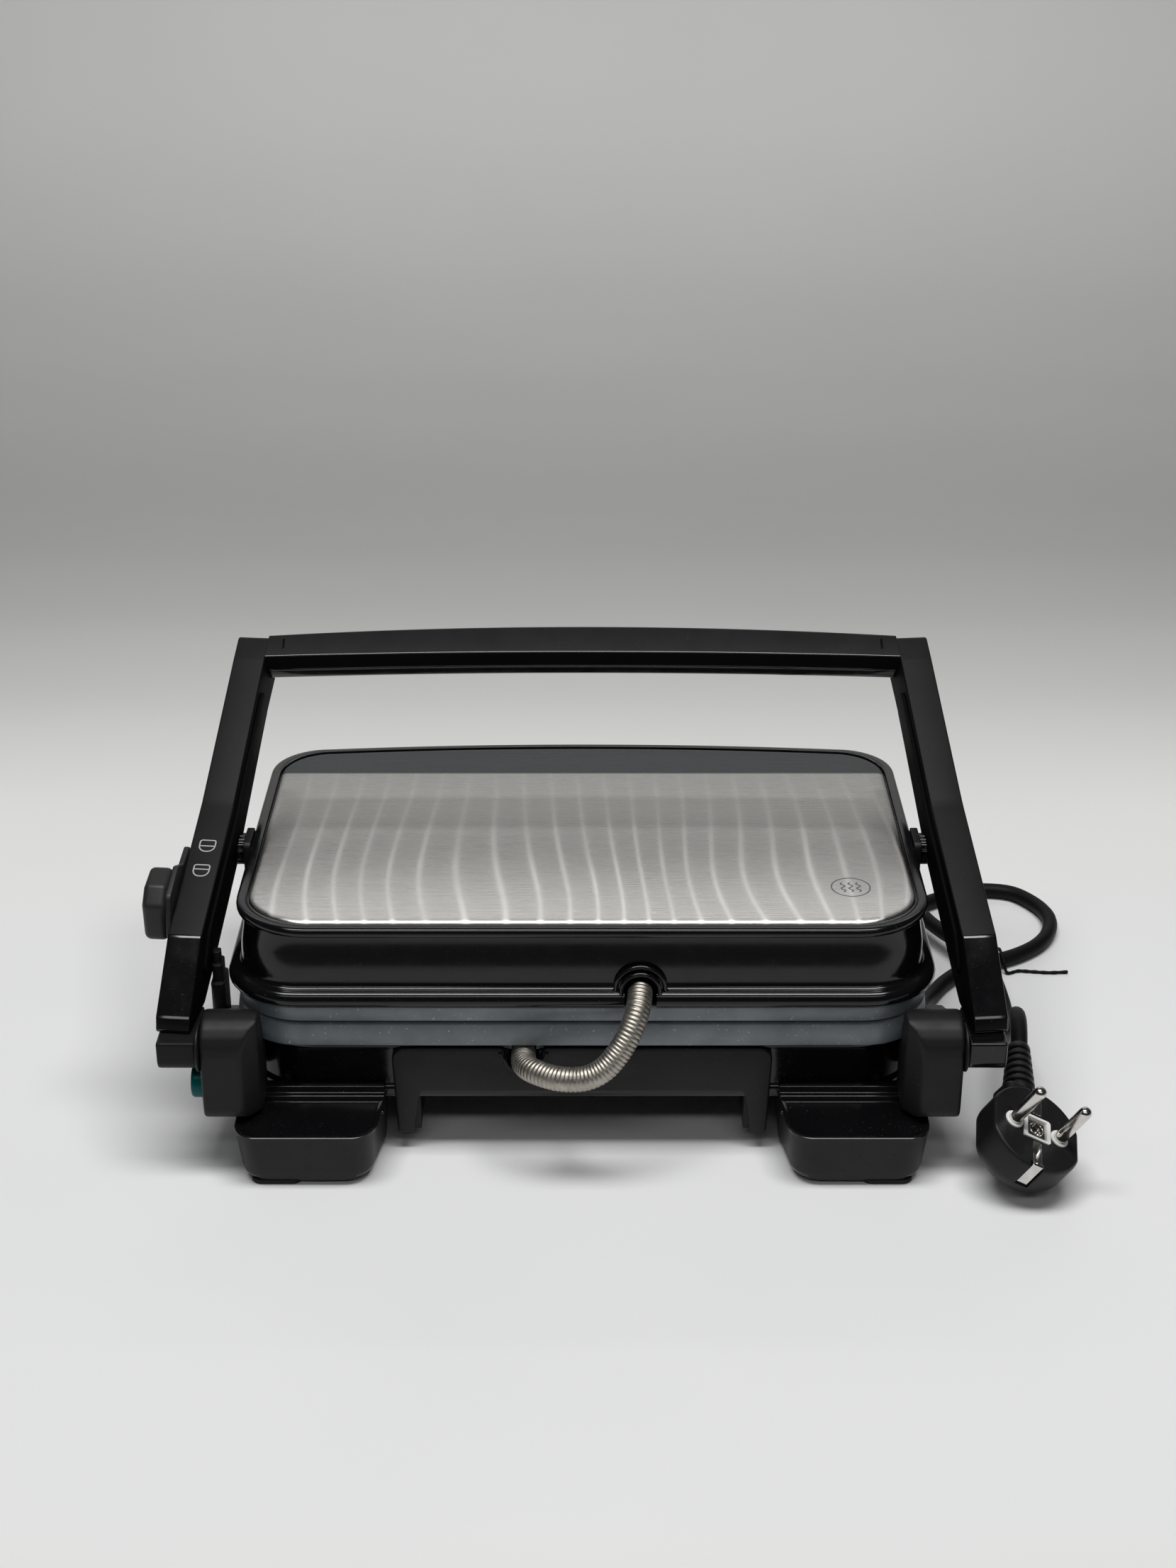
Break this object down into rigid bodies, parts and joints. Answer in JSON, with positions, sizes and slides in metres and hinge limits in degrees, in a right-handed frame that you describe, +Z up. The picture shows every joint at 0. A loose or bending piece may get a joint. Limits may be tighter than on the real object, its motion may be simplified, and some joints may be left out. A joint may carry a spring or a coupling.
{
  "type": "panini press",
  "caption": "Contact grill with a floating lid on two splayed arms, ribbed plates, bowed handle, height lever, release button, drip tray and mains lead.",
  "frame": {"origin": "middle of the overall box, without the mains lead, on the table under the foot pads", "axes": "+X towards the side with the mains lead, +Y from the hinges towards the handle, +Z up"},
  "size_m": [0.374, 0.3738, 0.1531],
  "materials": {
    "black_gloss": "polished moulding",
    "black_matte": "fine texture",
    "dark_grey": "fine texture",
    "lever_grey": "satin",
    "button_teal": "satin",
    "lamp_red": "clear lens",
    "lamp_green": "clear lens",
    "plate_coating": "dark non-stick coating",
    "panel_steel": "brushed from side to side",
    "bright_steel": "turned",
    "conduit_steel": "wound strip",
    "element_steel": "heat-stained",
    "reflector_sheet": "bright",
    "ceramic": "unglazed",
    "pad_rubber": "matte",
    "lead_rubber": "satin",
    "plug_black": "satin",
    "white_plastic": "satin",
    "nickel": "nickel plate"
  },
  "bodies": {
    "base": {"base_housing": "black_gloss", "base_bottom_cover": "black_matte", "base_screws": "bright_steel", "foot_pads": "pad_rubber", "plate_posts": "bright_steel", "lower_plate": "plate_coating", "lower_plate_screws": "bright_steel", "lower_reflector": "reflector_sheet", "lower_element": "element_steel", "thermostat": "ceramic", "terminal_block": "ceramic", "hinge_block_left": "black_matte", "hinge_block_right": "black_matte", "hinge_pin_left": "bright_steel", "hinge_pin_right": "bright_steel", "latch_post": "black_matte", "power_lamp": "lamp_red", "ready_lamp": "lamp_green", "cord_gland": "lead_rubber", "release_spring": "bright_steel", "flex_conduit": "conduit_steel", "power_cord": "lead_rubber", "plug_body": "plug_black", "plug_pins": "nickel", "plug_collars": "white_plastic", "plug_insert": "white_plastic", "plug_earth_clips": "nickel", "cord_tie": "lead_rubber"},
    "arms": {"arm_left": "dark_grey", "arm_right": "dark_grey", "arm_liner_left": "black_matte", "arm_liner_right": "black_matte", "hinge_eye_left": "dark_grey", "hinge_eye_right": "black_gloss", "pivot_pin_left": "bright_steel", "pivot_pin_right": "bright_steel", "handle_bar": "dark_grey", "handle_grip": "black_gloss", "handle_screws": "bright_steel"},
    "lid": {"lid_housing": "black_gloss", "lid_panel": "panel_steel", "pivot_block_left": "black_matte", "pivot_block_right": "black_matte", "upper_plate": "plate_coating", "upper_plate_screws": "bright_steel", "upper_reflector": "reflector_sheet", "upper_element": "element_steel", "thermal_cutout": "ceramic", "conduit_grommet": "lead_rubber"},
    "lever": {"lock_lever": "lever_grey"},
    "button": {"release_button": "button_teal"},
    "tray": {"drip_tray": "black_matte"}
  },
  "joints": [
    {"name": "arm_hinge", "type": "hinge", "parent": "base", "child": "arms", "pos_m": [0.004, -0.081, 0.052], "axis": [1, 0, 0], "range_deg": [0, 163], "deforming": ["flex_conduit"]},
    {"name": "lid_tilt", "type": "hinge", "parent": "arms", "child": "lid", "pos_m": [0.004, 0.004, 0.09], "axis": [1, 0, 0], "range_deg": [0, 17]},
    {"name": "lock_lever_slide", "type": "slide", "parent": "arms", "child": "lever", "axis": [0.0893, 0.9106, 0.4035], "range_m": [0, 0.014]},
    {"name": "release_button_press", "type": "slide", "parent": "base", "child": "button", "axis": [1, 0, 0], "range_m": [0, 0.0033], "stiffness_N_per_m": 300, "deforming": ["release_spring"]},
    {"name": "drip_tray_slide", "type": "slide", "parent": "base", "child": "tray", "axis": [0, 1, 0], "range_m": [0, 0.12]}
  ],
  "couplings": [
    {"joint": "lid_tilt", "follows": "arm_hinge", "ratio": 0.1}
  ]
}
